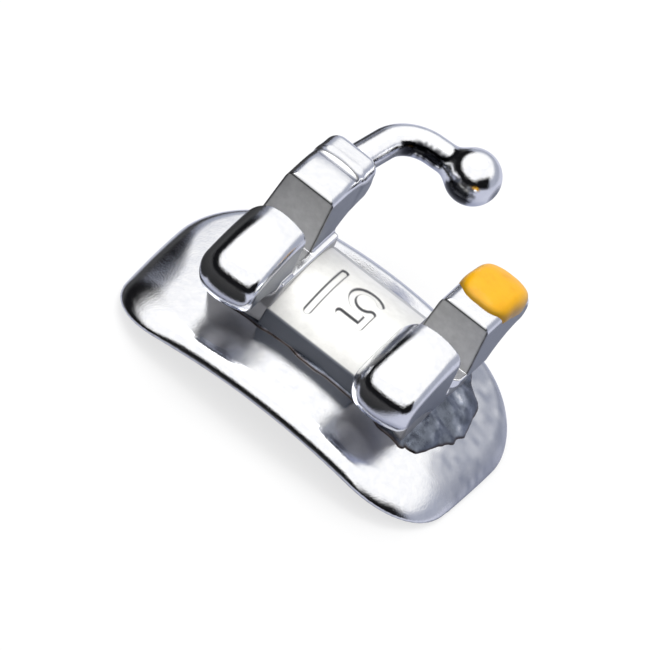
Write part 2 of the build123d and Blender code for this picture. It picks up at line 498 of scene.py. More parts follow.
@dataclass(frozen=True)
class BrazeFinish:
    """Solidified braze: a dull slate skin with bright flecks and a browned edge."""
    stops: tuple[tuple[float, str], ...] = ((0.3, "#4C515B"), (0.5, "#747A86"), (0.62, "#949AA8"),
                                            (0.74, "#E0E1E6"))
    edge: str = "#4A3B30"
    cloud: float = 0.30
    rough: Point = (0.18, 0.42)
    pits: float = 0.06
    pits_lift: float = 0.004

    def material(self) -> bpy.types.Material:
        """The material, smoother where it is darker.

        Returns:
            The new material.
        """
        paint = Paint("oxidised_braze")
        cloud = paint.mottle(self.cloud, 5, 0.6)
        tone = paint.add("ShaderNodeValToRGB", {"Fac": cloud}, stops=self.stops)
        tint_and_painted_shade = paint.add("ShaderNodeAttribute", out="Fac", attribute_name="tint_and_painted_shade")
        bump = paint.add("ShaderNodeBump", {"Height": paint.mottle(self.pits, 4, 0.6),
                                            "Distance": self.pits_lift * MM})
        rough = paint.add("ShaderNodeMapRange", span(cloud, 0.0, 1.0, *self.rough))
        return paint.finished(Base_Color=paint.coats(tone, [(tint_and_painted_shade, self.edge)]), Metallic=1.0,
                              Roughness=rough, Normal=bump)


class Finish(Enum):
    """The finishes on the part."""
    # Electropolishing rounds the grain off, which gives near-mirror reflections with hard borders. Its
    # darker flank and stem colours are painted shade.
    WING = MetalFinish("electropolished_steel", "#FDFDFE", "#F2F3F7", 0.03, 0.11, 0.022, 0.0018, 0.45, 0.004,
                       flank="#6B717E", shade_and_dull_skin="#B0B0B4")
    # Tumbling leaves the pad a little duller, and its reflections wander over the soft swell. Its flank
    # colour is painted shade on the ends, and its darker grey a painted reflection on the right end.
    PAD = MetalFinish("tumbled_pad_steel", "#FDFDFE", "#F2F3F7", 0.05, 0.14, 0.024, 0.0020, 0.6, 0.006,
                      flank="#A6AAB6", shade_and_dull_skin="#959AA9", dull_rough=0.14)
    # Bead blasting scatters the light, so the saddle reads as soft white. Its slate colours are painted
    # shade on the upright faces, along the strokes and at the crest.
    SADDLE = MetalFinish("bead_blasted_saddle_steel", "#FBFAF6", "#EFEEEA", 0.34, 0.46, 0.020, 0.0018,
                         0.5, 0.002, flank="#676C77", shade_and_dull_skin="#676C77", dull_rough=0.02, metallic=0.22,
                         painted_shade="#6C6D72")
    # Milling marks run along the slot and turn its walls into an even mid grey. The dark lines at their
    # borders are painted shade.
    WALL = MetalFinish("milled_slot_steel", "#DADADA", "#C8C8C8", 0.42, 0.55, 0.03, 0.0006, 0.5, 0.002,
                       flank="#D0D0D0", dull_rough=0.0, stretch=(0.12, 1, 1), metallic=0.5)
    # Rolled wire keeps a satin drawn surface.
    WIRE = MetalFinish("flattened_mesh_wire", "#C4C6CA", "#9A9DA4", 0.22, 0.40, 0.03, 0.0008, 0.3, 0.002)
    ENAMEL = EnamelFinish()
    BRAZE = BrazeFinish()


@cache
def material_of(finish: Finish) -> bpy.types.Material:
    """The one material of a finish, made when it is first wanted."""
    return finish.value.material()


class SubAssembly:
    """One piece of the part, which rides on the bracket's only body."""
    name: ClassVar[str]
    part_slot: ClassVar[str]
    finishes: ClassVar[tuple[Finish, ...]]
    node: ClassVar[str] = ""

    def build(self) -> bpy.types.Object:
        """The piece's mesh, made from the distance to its surface."""
        return skin_mesh(self.name, self)

    def dress(self, made: bpy.types.Object) -> None:
        """Give the piece its finishes and its place in the CAD model.

        Args:
            made: The piece.
        """
        for finish in self.finishes:
            made.data.materials.append(material_of(finish))
        if self.node:
            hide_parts(self.node)
        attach(made, "root")


# The object's sub-assemblies. Every size is in millimetres.

@dataclass(frozen=True)
class Slot:
    """The archwire slot that runs along X."""
    width: float = 0.56
    depth: float = 0.77
    lead: float = 0.05
    edge: float = 0.012
    floor: float = 1.3193
    rise: float = 0.0

    @property
    def top(self) -> float:
        """The level of the slot's mouth."""
        return self.floor + self.depth + self.rise

    def distance(self, y: Grid, z: Grid) -> Grid:
        """The distance to the open space of the slot.

        Args:
            y, z: Where the points lie.
        Returns:
            The distance, negative inside.
        """
        channel = np.maximum(np.abs(y) - self.width / 2, self.floor - z)
        chamfer = (np.abs(y) - self.width / 2 - (z - self.top + self.lead)) * math.sqrt(0.5)
        return np.minimum(channel, np.maximum(chamfer, self.top - 2 * self.lead - z))

    @classmethod
    def at(cls, end: int) -> "Slot":
        """The slot at one wing pair: the hooked pair stands taller."""
        return cls(rise=0.10 if end < 0 else 0.02)


@dataclass(frozen=True)
class Pad(SubAssembly):
    """The domed pad with its rolled rim and the tray underneath."""
    name: ClassVar[str] = "bonding_pad"
    part_slot: ClassVar[str] = "pad_steel"
    finishes: ClassVar[tuple[Finish, ...]] = (Finish.PAD,)
    node: ClassVar[str] = "base_pad"
    radius: float = 7.0
    thickness: float = 0.25
    left: float = 2.47
    right: float = 2.52
    front: float = 1.76
    back: float = 1.88
    side_bow: float = 0.12
    end_bow: float = 0.06
    corners: tuple[float, ...] = (0.85, 1.10, 1.25, 1.35)
    rim_roll: float = 0.24
    side_reach: float = 0.26
    corner_reach: float = 0.62
    rim_under: float = 0.05
    cross_arch: float = 0.010
    rim_width: float = 0.17
    tray_depth: float = 0.10
    tray_edge: float = 0.02
    corner_sides: Point = (1.2, 2.2)
    # A ragged blue-grey patch of painted reflection on the pad's right end.
    corner_front: Point = (-0.5, 0.7)
    end_reflection: Point = (1.55, 1.95)
    end_reflection_slant: float = 0.55
    end_reflection_front: Point = (-0.75, -0.30)
    end_reflection_lumps: Point3 = (0.40, 0.14, 0.10)
    end_reflection_ragged: Point = (0.12, 0.08)
    pitch: float = 0.022

    @property
    def centre(self) -> float:
        """The height of the arch's axis, far below the pad."""
        half = max(self.left, self.right)
        return self.radius - math.sqrt(self.radius ** 2 - half ** 2) - self.radius

    def axis_distance(self, x: Grid, z: Grid) -> Grid:
        """How far a point is from the arch's axis."""
        return np.hypot(x, z - self.centre)

    @cached_property
    def outline(self) -> list[Point]:
        """The pad seen from above: four bowed sides with a rounded corner between each two.

        Returns:
            The outline's points, counter-clockwise.
        """
        left, right = -self.left + self.end_bow, self.right - self.end_bow
        front, back = -self.front + self.side_bow, self.back - self.side_bow
        ends = [(left, front), (right, front), (right, back), (left, back)]
        bows = [self.side_bow, self.end_bow, self.side_bow, self.end_bow]
        sides = [self._side_circle(ends[i], ends[(i + 1) % 4], bows[i]) for i in range(4)]
        centres = []
        for here, (corner, radius) in enumerate(zip(ends, self.corners)):
            (ax, ay, ar), (bx, by, br) = sides[here - 1], sides[here]
            centres.append(self._meeting((ax, ay, ar - radius), (bx, by, br - radius), corner))
        points: list[Point] = []
        for here, (centre, radius) in enumerate(zip(centres, self.corners)):
            before, after = sides[here - 1], sides[here]
            begin, end = self._angle(before, centre), self._angle(after, centre)
            points += self._arc((*centre, radius), begin, end, 30)
            begin, end = self._angle(after, points[-1]), self._angle(after, centres[(here + 1) % 4])
            points += self._arc(after, begin, end, 14)[1:-1]
        return points

    @staticmethod
    def _angle(centre: Sequence[float], point: Point) -> float:
        """The angle at which a point lies from a centre."""
        return math.atan2(point[1] - centre[1], point[0] - centre[0])

    @staticmethod
    def _arc(circle: Circle, begin: float, end: float, count: int) -> list[Point]:
        """Points along a circle, counter-clockwise.

        Args:
            circle: The centre and the radius.
            begin, end: The first and the last angle.
            count: How many points.
        Returns:
            The points.
        """
        turn = (end - begin) % math.tau
        return [(circle[0] + circle[2] * math.cos(begin + turn * t),
                 circle[1] + circle[2] * math.sin(begin + turn * t)) for t in np.linspace(0, 1, count)]

    @staticmethod
    def _side_circle(start: Point, end: Point, bow: float) -> Circle:
        """The centre and radius of a bowed side, the inside lying to its left.

        Args:
            start, end: The two ends.
            bow: How far the side bulges.
        Returns:
            The circle.
        """
        chord = math.dist(start, end)
        radius = (chord * chord / 4 + bow * bow) / (2 * bow)
        nx, ny = -(end[1] - start[1]) / chord, (end[0] - start[0]) / chord
        middle = (start[0] + end[0]) / 2, (start[1] + end[1]) / 2
        return middle[0] + nx * (radius - bow), middle[1] + ny * (radius - bow), radius

    @staticmethod
    def _meeting(a: Circle, b: Circle, near: Point) -> Point:
        """Where two circles cross, on the side of a given point.

        Args:
            a, b: The two circles.
            near: The given point.
        Returns:
            The crossing.
        """
        gap = math.dist(a[:2], b[:2])
        along = (gap * gap + a[2] ** 2 - b[2] ** 2) / (2 * gap)
        aside = math.sqrt(a[2] ** 2 - along ** 2)
        ux, uy = (b[0] - a[0]) / gap, (b[1] - a[1]) / gap
        crossings = [(a[0] + along * ux - s * aside * uy, a[1] + along * uy + s * aside * ux)
                     for s in (-1, 1)]
        return min(crossings, key=lambda p: math.dist(p, near))

    def distance(self, x: Grid, y: Grid, z: Grid) -> Grid:
        """The distance to the pad's metal.

        Args:
            x, y, z: Where the points lie.
        Returns:
            The distance, negative inside.
        """
        out = self.axis_distance(x, z)
        plan = outline_distance(x, y, self.outline)
        sag = self.cross_arch * (y * y)
        corner = smooth_step(np.abs(x), *self.corner_sides) * smooth_step(-y, *self.corner_front)
        reach = self.side_reach + (self.corner_reach - self.side_reach) * corner
        top = out - self.radius - self.thickness + sag
        shell = round_and(top, plan * self.rim_roll / reach, self.rim_roll)
        shell = round_and(shell, self.radius - out, self.rim_under)
        tray = np.maximum(plan + self.rim_width, out - self.radius - self.tray_depth)
        return blend_cut(shell, tray, self.tray_edge)

    def shade_and_dull_skin(self, x: Grid, y: Grid, z: Grid) -> Grid:
        """How much a ragged patch of painted reflection greys the right end, which is duller there too, from
        0 to 1.

        Args:
            x, y, z: Where the points lie; z is not used.
        Returns:
            The share at each point.
        """
        (wide, small, fine), (deep, shallow) = self.end_reflection_lumps, self.end_reflection_ragged
        ragged = deep * lumps(x, y, wide, 11) + shallow * lumps(x, y, small, 12)
        near = smooth_step(x + self.end_reflection_slant * y + ragged, *self.end_reflection)
        return near * smooth_step(y + ragged, *self.end_reflection_front) * (0.8 + 0.2 * lumps(x, y, fine, 13))

    def box(self) -> tuple[Point3, Point3]:
        """The lowest and highest corner of the space to sample."""
        top = self.centre + self.radius + self.thickness
        return (-self.left, -self.front, 0.0), (self.right, self.back, top)


@dataclass(frozen=True)
class Wing:
    """One tie wing: a pillowed crown, a rounded nose and a hollow for the ligature."""
    end: int
    side: int
    shoulder: float
    reach: float
    nose_top: float
    lip_reach: float
    lip: float
    hollow: float
    waist: float
    edge: float
    crisp_edge: float
    bulge: float = 0.0
    top: float = 0.77
    shift: float = 0.0
    dome: float = 0.05
    inner: float = 0.82
    outer: float = 1.66
    draft: float = 4.0
    hollow_depth: float = 0.10
    slot: Slot = Slot()

    @classmethod
    def front(cls, end: int) -> "Wing":
        """A front wing, wider and lower at its nose.

        Args:
            end: The far end.
        Returns:
            The wing.
        """
        return cls(end, -1, shoulder=0.50, reach=1.34, nose_top=0.53, lip_reach=1.36, lip=-0.18,
                   hollow=0.36, waist=0.56, edge=0.30, crisp_edge=0.12, bulge=0.08 if end < 0 else 0.13,
                   top=0.70, dome=0.09)

    @classmethod
    def rear(cls, end: int) -> "Wing":
        """A rear wing, level with the slot's mouth.

        Args:
            end: The far end.
        Returns:
            The wing.
        """
        hooked = end < 0
        return cls(end, 1, shoulder=0.62 if hooked else 0.90, reach=1.58, nose_top=0.58, lip_reach=1.52,
                   lip=0.14, hollow=0.20, waist=0.90, edge=0.12, crisp_edge=0.10,
                   top=0.87 if hooked else 0.79, shift=-0.03 if hooked else 0.0)

    @property
    def middle(self) -> float:
        """Where the wing's middle lies along X."""
        return self.end * (self.inner + self.outer) / 2 - self.bulge / 2 + self.shift

    @cached_property
    def profile(self) -> list[Point]:
        """The side view, from the crown over the nose to the neck.

        Returns:
            The profile's points, as y and z.
        """
        floor, top, side = self.slot.floor, self.slot.floor + self.top, self.side
        start = (side * self.shoulder, top)
        crown, leaving = tangent_arc(start, (side * self.reach, floor + self.nose_top), (side, 0))
        under = (side * self.lip_reach, floor + self.lip)
        nose = tangent_arc(crown[-1], under, leaving)[0]
        neck = (side * self.waist, floor - self.hollow)
        hollow = bowed(under, neck, self.hollow_depth)
        return crown + nose[1:] + hollow[1:] + [(0, floor - self.hollow), (0, top)]

    def flank(self, x: Grid, z: Grid) -> Grid:
        """The distance to the two drafted flanks.

        Args:
            x, z: Where the points lie.
        Returns:
            The distance, negative between them.
        """
        slope = math.tan(math.radians(self.draft))
        half = (self.outer - self.inner + self.bulge) / 2 - (z - self.slot.floor) * slope
        return (np.abs(x - self.middle) - half) * math.cos(math.radians(self.draft))

    def distance(self, x: Grid, y: Grid, z: Grid) -> Grid:
        """The distance to the wing.

        Args:
            x, y, z: Where the points lie.
        Returns:
            The distance, negative inside.
        """
        across = (x - self.middle) / ((self.outer - self.inner) / 2)
        crown = outline_distance(y, z, self.profile) + self.dome * across * across
        edge = np.where(x < self.middle, self.edge, self.crisp_edge)
        return round_and(crown, self.flank(x, z), edge)


@dataclass(frozen=True)
class Stem:
    """The foot under one wing pair; its top is the floor of the slot."""
    end: int
    inner: float = 0.76
    outer: float = 1.55
    front: float = 0.66
    back: float = 1.00
    waist: float = 0.10
    front_hollow: float = 0.36
    rear_hollow: float = 0.20
    edge: float = 0.03
    sink: float = 0.10
    foot: float = 0.4
    slot: Slot = Slot()
    pad: Pad = Pad()

    def distance(self, x: Grid, y: Grid, z: Grid) -> Grid:
        """The distance to the stem, which stops inside the pad's metal.

        Args:
            x, y, z: Where the points lie.
        Returns:
            The distance, negative inside.
        """
        floor = self.slot.floor
        outline = [(-self.front, self.foot), (self.back, self.foot),
                   (self.back, floor - self.rear_hollow),
                   (self.back - self.waist, floor), (-self.front + self.waist, floor),
                   (-self.front, floor - self.front_hollow)]
        middle, half = self.end * (self.inner + self.outer) / 2, (self.outer - self.inner) / 2
        column = round_and(outline_distance(y, z, outline), np.abs(x - middle) - half, self.edge)
        cut = self.pad.radius + self.pad.thickness - self.sink - self.pad.axis_distance(x, z)
        return np.maximum(column, cut)


@dataclass(frozen=True)
class BallHook:
    """The hook: the thick end of the wing, a bent round arm and a ball."""
    diameter: float = 0.41
    ball: float = 0.745
    root: Point3 = (-1.36, 1.23, 0.30)
    bend: Point3 = (-1.06, 2.76, 0.49)
    tip: Point3 = (-0.03, 2.71, 0.60)
    bend_radius: float = 0.50
    block_start: float = 1.05
    block_end: float = 1.65
    block_bottom: float = 0.10
    block_top: float = 0.79
    block_half: float = 0.38
    block_round: float = 0.18
    block_tilt: float = 4.0
    block_middle: float = -1.27
    groove_radius: float = 0.13
    groove_level: float = 0.905
    neck: float = 0.10
    block_fillet: float = 0.12
    # Where a painted dark reflection lies on the inner side of the arm and on the lower front of the ball.
    reflection_way: Point3 = (-0.25, 0.80, 0.55)
    reflection_from: Point = (0.0, 0.35)
    reflection_to: Point = (0.80, 0.98)
    reflection_start: Point = (1.55, 2.0)
    reflection_end: Point = (-0.42, -0.34)
    reflection_lean: float = 0.5
    reflection_lumps: Point = (0.12, 0.04)
    reflection_uneven: Point = (0.10, 0.08)
    ball_way: Point3 = (-0.04, -0.94, -0.35)
    ball_reflection: Point = (0.80, 0.90)
    ball_start: Point = (-0.34, -0.28)
    ball_lump: float = 0.05
    ball_uneven: float = 0.03
    ball_within: float = 1.05
    slot: Slot = Slot()

    def axis_offset(self, x: Grid, y: Grid, z: Grid) -> tuple[Grid, Grid, Grid]:
        """The way from the arm's middle line to a point: two straight runs and the bend between them.

        Args:
            x, y, z: Where the points lie.
        Returns:
            The way's three parts.
        """
        lift = Vector((0, 0, self.slot.floor))
        root, bend, tip = (Vector(p) + lift for p in (self.root, self.bend, self.tip))
        first, second = (bend - root).normalized(), (tip - bend).normalized()
        turn = first.angle(second)
        reach = self.bend_radius * math.tan(turn / 2)
        start, end = bend - first * reach, bend + second * reach
        outward = (first * first.dot(second) - second).normalized()
        centre = start - outward * self.bend_radius
        qx, qy, qz = x - centre.x, y - centre.y, z - centre.z
        aside = qx * first.x + qy * first.y + qz * first.z
        along = qx * outward.x + qy * outward.y + qz * outward.z
        angle = np.clip(np.arctan2(aside, along), 0, turn)
        cos, sin = self.bend_radius * np.cos(angle), self.bend_radius * np.sin(angle)
        ways = [(qx - outward.x * cos - first.x * sin, qy - outward.y * cos - first.y * sin,
                 qz - outward.z * cos - first.z * sin),
                self._run(x, y, z, root, start), self._run(x, y, z, end, tip)]
        best = ways[0]
        for way in ways[1:]:
            nearer = sum(w * w for w in way) < sum(b * b for b in best)
            best = tuple(np.where(nearer, w, b) for w, b in zip(way, best))
        return best

    @staticmethod
    def _run(x: Grid, y: Grid, z: Grid, start: Vector, end: Vector) -> tuple[Grid, Grid, Grid]:
        """The way from a straight run's middle line to a point.

        Args:
            x, y, z: Where the points lie.
            start, end: The two ends.
        Returns:
            The way's three parts.
        """
        e = end - start
        wx, wy, wz = x - start.x, y - start.y, z - start.z
        share = np.clip((wx * e.x + wy * e.y + wz * e.z) / e.length_squared, 0, 1)
        return wx - e.x * share, wy - e.y * share, wz - e.z * share

    def arm(self, x: Grid, y: Grid, z: Grid) -> Grid:
        """The distance to the arm."""
        ox, oy, oz = self.axis_offset(x, y, z)
        return np.sqrt(ox * ox + oy * oy + oz * oz) - self.diameter / 2

    def block(self, x: Grid, y: Grid, z: Grid) -> Grid:
        """The distance to the thick end of the wing.

        Args:
            x, y, z: Where the points lie.
        Returns:
            The distance, negative inside.
        """
        tilt = math.radians(-self.block_tilt)
        dy, dz = y - self.block_start, z - self.slot.floor - self.block_bottom
        along, up = dy * math.cos(tilt) + dz * math.sin(tilt), dz * math.cos(tilt) - dy * math.sin(tilt)
        half_y, half_z = (self.block_end - self.block_start) / 2, (self.block_top - self.block_bottom) / 2
        r = self.block_round
        qx = np.abs(x - self.block_middle) - self.block_half + r
        qy, qz = np.abs(along - half_y) - half_y + r, np.abs(up - half_z) - half_z + r
        outside = np.sqrt(np.maximum(qx, 0) ** 2 + np.maximum(qy, 0) ** 2 + np.maximum(qz, 0) ** 2)
        return outside + np.minimum(np.maximum(qx, np.maximum(qy, qz)), 0) - r

    def distance(self, x: Grid, y: Grid, z: Grid) -> Grid:
        """The distance to the whole hook.

        Args:
            x, y, z: Where the points lie.
        Returns:
            The distance, negative inside.
        """
        tip = Vector(self.tip) + Vector((0, 0, self.slot.floor))
        ball = np.sqrt((x - tip.x) ** 2 + (y - tip.y) ** 2 + (z - tip.z) ** 2) - self.ball / 2
        arm = blend_or(self.arm(x, y, z), ball, self.neck)
        return blend_or(arm, self.block(x, y, z), self.block_fillet)

    def inner_side(self, x: Grid, y: Grid, z: Grid) -> Grid:
        """How much painted dark reflection lies on the inner side of the bend and on the ball, from 0 to 1.

        Args:
            x, y, z: Where the points lie.
        Returns:
            The share at each point.
        """
        (cx, cy, cz), (wx, wy, wz) = self.axis_offset(x, y, z), self.reflection_way
        depth = -(cy * wy + cz * wz + cx * wx) / (self.diameter / 2)
        (wide, small), (much, little) = self.reflection_lumps, self.reflection_uneven
        depth = depth + much * lumps(x, y, wide, 21) + little * lumps(x, y, small, 22)
        along = smooth_step(y + self.reflection_lean * x, *self.reflection_start)
        along = along * (1 - smooth_step(x, *self.reflection_end))
        bend = smooth_step(depth, *self.reflection_from) * (1 - smooth_step(depth, *self.reflection_to)) * along
        (tx, ty, tz), (bx, by, bz) = self.tip, self.ball_way
        facing = (bx * (x - tx) + by * (y - ty) + bz * (z - tz - self.slot.floor)) / (self.ball / 2)
        ball = smooth_step(facing + self.ball_uneven * lumps(x, z, self.ball_lump, 23), *self.ball_reflection)
        return np.maximum(bend, ball * smooth_step(x, *self.ball_start) * (facing < self.ball_within))

    def groove(self, y: Grid, z: Grid) -> Grid:
        """The distance to the round groove across the wing, in front of the block."""
        return np.hypot(y - self.block_start, z - self.slot.floor - self.groove_level) - self.groove_radius


@dataclass(frozen=True)
class WingPair(SubAssembly):
    """Two wings on their stem, cut by the slot, with the hook on the left-hand pair."""
    part_slot: ClassVar[str] = "polished_steel"
    finishes: ClassVar[tuple[Finish, ...]] = (Finish.WING, Finish.WALL)
    end: int
    pitch: float = 0.015
    fillet: float = 0.06
    join: float = 0.02
    groove_edge: float = 0.015
    # Painted shade on the stem, under the wings, along the slot walls' borders and round the groove.
    stem_shade_side: Point = (-0.02, 0.03)
    stem_shade_top: Point = (0.01, 0.04)
    shade_depth: Point = (0.12, 0.20)
    shade_reach: Point = (-1.05, -0.85)
    shade_middle: float = -0.1
    wall_near: float = 0.03
    wall_reach: float = 0.02
    wall_upright: float = 0.8
    wall_foot: float = 0.01
    border_inset: float = 0.012
    border: float = 0.013
    groove_border: float = 0.014
    hook_from: float = 0.9
    boxes: ClassVar[dict[int, tuple[Point3, Point3]]] = {
        -1: ((-1.80, -1.62, 0.55), (0.37, 3.12, 2.32)), 1: ((0.70, -1.62, 0.55), (1.72, 1.66, 2.12))}
    slot: Slot = Slot()
    hook: BallHook = BallHook()

    @property
    def name(self) -> str:
        """The piece's name, by the end of the slot it stands at."""
        return "tie_wings_left" if self.end < 0 else "tie_wings_right"

    def dress(self, made: bpy.types.Object) -> None:
        """Give the piece its finishes, with the milled one on the slot's walls.

        Args:
            made: The piece.
        """
        super().dress(made)
        places, normals = centres(made)
        wall = ((np.abs(places[:, 1]) < self.slot.width / 2 + self.wall_reach)
                & (np.abs(normals[:, 1]) > self.wall_upright)
                & (places[:, 2] > self.slot.floor - self.wall_foot))
        made.data.polygons.foreach_set("material_index", wall.astype(np.int32))

    def distance(self, x: Grid, y: Grid, z: Grid) -> Grid:
        """The distance to the wing pair.

        Args:
            x, y, z: Where the points lie.
        Returns:
            The distance, negative inside.
        """
        front, rear = Wing.front(self.end), Wing.rear(self.end)
        shape = blend_or(front.distance(x, y, z), rear.distance(x, y, z), self.join)
        shape = blend_or(shape, Stem(self.end).distance(x, y, z), self.fillet)
        if self.end < 0:
            shape = blend_or(shape, self._hook(x, y, z), self.fillet)
            shape = blend_cut(shape, self.hook.groove(y, z), self.groove_edge)
        return blend_cut(shape, Slot.at(self.end).distance(y, z), self.slot.edge)

    def shade_and_dull_skin(self, x: Grid, y: Grid, z: Grid) -> Grid:
        """Where painted shade falls on the stem and under the wings, which are duller there too, from 0 to
        1.

        Args:
            x, y, z: Where the points lie.
        Returns:
            The share at each point.
        """
        wings = np.minimum(Wing.front(self.end).distance(x, y, z), Wing.rear(self.end).distance(x, y, z))
        depth = self.slot.floor - z
        stem = smooth_step(wings - Stem(self.end).distance(x, y, z), *self.stem_shade_side)
        stem = stem * smooth_step(depth, *self.stem_shade_top)
        beneath = smooth_step(depth, *self.shade_depth)
        beneath = beneath * smooth_step(-np.abs(y - self.shade_middle), *self.shade_reach)
        return np.maximum(stem, beneath)

    def tint_and_painted_shade(self, x: Grid, y: Grid, z: Grid) -> Grid:
        """Painted shade lines along the borders of the slot's walls and round the groove, and painted dark
        reflections on the hook's inner side and ball, from 0 to 1.

        Args:
            x, y, z: Where the points lie.
        Returns:
            The share at each point.
        """
        slot = Slot.at(self.end)
        rear = Wing.rear(self.end)
        wall = np.abs(np.abs(y) - slot.width / 2) < self.wall_near
        border = np.minimum(np.abs(rear.flank(x, z) + self.border_inset), np.abs(z - slot.top + slot.lead))
        dark = np.where(wall & (z > slot.floor), np.exp(-(border / self.border) ** 2), 0)
        if self.end < 0:
            crown = np.minimum(rear.distance(x, y, z), self.hook.block(x, y, z))
            rim = np.hypot(self.hook.groove(y, z), crown)
            dark = np.maximum(dark, np.exp(-(rim / self.groove_border) ** 2))
            dark = np.maximum(dark, self.hook.inner_side(x, y, z))
        return dark

    def _hook(self, x: Grid, y: Grid, z: Grid) -> Grid:
        """The hook's distance, worked out only where it can matter.

        Args:
            x, y, z: Where the points lie.
        Returns:
            The distance, far where the hook isn't.
        """
        near = (y > self.hook_from).ravel()
        whole = np.full(np.broadcast(x, y, z).shape, FAR)
        whole[:, near, :] = self.hook.distance(x, y[:, near, :], z)
        return whole

    def box(self) -> tuple[Point3, Point3]:
        """The lowest and highest corner of the space to sample."""
        return self.boxes[self.end]


@dataclass(frozen=True)
class Saddle(SubAssembly):
    """The web between the wing pairs, with its sunken digit and position line."""
    name: ClassVar[str] = "saddle_web"
    part_slot: ClassVar[str] = "polished_steel"
    finishes: ClassVar[tuple[Finish, ...]] = (Finish.SADDLE,)
    node: ClassVar[str] = "bracket_body"
    recess: float = 0.06
    front: float = 0.70
    front_drop: float = 0.31
    back: float = 1.16
    back_drop: float = 0.33
    crest: float = 0.12
    slope_start: float = 0.92
    half: float = 0.79
    edge: float = 0.035
    groove: float = 0.095
    groove_depth: float = 0.035
    groove_edge: float = 0.02
    digit_size: Point = (0.40, 0.62)
    digit_middle: Point = (0.10, 0.16)
    line: tuple[Point, Point] = ((-0.38, -0.40), (-0.38, 0.50))
    sink: float = 0.10
    foot: float = 0.4
    bottom: float = 0.58
    # Painted shade along the strokes, at the crest, on the front face and on the back slope.
    border: float = 0.011
    crest_border: float = 0.010
    crest_dark: float = 0.6
    front_shade: Point = (0.04, 0.015)
    slope_fade: float = 0.02
    slope_shade: float = 0.5
    pitch: float = 0.0125
    slot: Slot = Slot()
    pad: Pad = Pad()

    @cached_property
    def profile(self) -> list[Point]:
        """The side view, with the convex top.

        Returns:
            The profile's points, as y and z.
        """
        level = self.slot.floor - self.recess
        front, top = (-self.front, level - self.front_drop), (self.crest, level)
        back = (self.back, level - self.back_drop)
        return self._arc_through(front, top, back) + [(self.back, self.foot), (-self.front, self.foot)]

    @staticmethod
    def _arc_through(a: Point, b: Point, c: Point, steps: int = 60) -> list[Point]:
        """Points along the arc through three points.

        Args:
            a, b, c: The three points.
            steps: How many chords stand for the arc.
        Returns:
            The points.
        """
        d = 2 * (a[0] * (b[1] - c[1]) + b[0] * (c[1] - a[1]) + c[0] * (a[1] - b[1]))
        sa, sb, sc = (p[0] ** 2 + p[1] ** 2 for p in (a, b, c))
        ox = (sa * (b[1] - c[1]) + sb * (c[1] - a[1]) + sc * (a[1] - b[1])) / d
        oy = (sa * (c[0] - b[0]) + sb * (a[0] - c[0]) + sc * (b[0] - a[0])) / d
        radius = math.dist((ox, oy), a)
        first, last = math.atan2(a[1] - oy, a[0] - ox), math.atan2(c[1] - oy, c[0] - ox)
        angles = np.linspace(first, last, steps)
        return [(ox + radius * math.cos(t), oy + radius * math.sin(t)) for t in angles]

    @cached_property
    def digit(self) -> list[Point]:
        """The line of a plain figure 5, read from the hook's side.

        Returns:
            The line's points.
        """
        w, h = self.digit_size
        bowl = [(0.02 * w + 0.48 * w * math.cos(t), -0.17 * h + 0.33 * h * math.sin(t))
                for t in np.linspace(0.80 * math.pi, -0.80 * math.pi, 28)]
        strokes = [(0.42 * w, 0.5 * h), (-0.36 * w, 0.5 * h)] + bowl
        cx, cy = self.digit_middle
        return [(cx - px, cy - py) for px, py in strokes]

    def strokes(self, x: Grid, y: Grid) -> Grid:
        """The distance to the borders of the sunken strokes, negative within them."""
        nearest = np.minimum(stroke_distance(x, y, self.digit), stroke_distance(x, y, self.line))
        return nearest - self.groove / 2

    def tint_and_painted_shade(self, x: Grid, y: Grid, z: Grid) -> Grid:
        """Painted shade along the borders of the sunken strokes and a painted dark line at the back crest,
        from 0 to 1.
        """
        crest = self.crest_dark * np.exp(-((y - self.slope_start) / self.crest_border) ** 2)
        return np.maximum(np.exp(-(self.strokes(x, y) / self.border) ** 2), crest)

    def shade_and_dull_skin(self, x: Grid, y: Grid, z: Grid) -> Grid:
        """Painted shade on the front face and the back slope, which are duller there too, from 0 to 1.

        Args:
            x, y, z: Where the points lie; x and z are not used.
        Returns:
            The share at each point.
        """
        front = smooth_step(-y, *(self.front - inset for inset in self.front_shade))
        slope = smooth_step(y, self.slope_start, self.slope_start + self.slope_fade)
        return np.maximum(front, self.slope_shade * slope)

    def distance(self, x: Grid, y: Grid, z: Grid) -> Grid:
        """The distance to the saddle.

        Args:
            x, y, z: Where the points lie.
        Returns:
            The distance, negative inside.
        """
        side = outline_distance(y, z, self.profile)
        shape = round_and(side, np.abs(x) - self.half, self.edge)
        cut = self.pad.radius + self.pad.thickness - self.sink - self.pad.axis_distance(x, z)
        shape = np.maximum(shape, cut)
        groove = np.maximum(self.strokes(x, y), -(side + self.groove_depth))
        return blend_cut(shape, groove, self.groove_edge)

    def box(self) -> tuple[Point3, Point3]:
        """The lowest and highest corner of the space to sample."""
        return (-self.half, -self.front, self.bottom), (self.half, self.back, self.slot.floor)


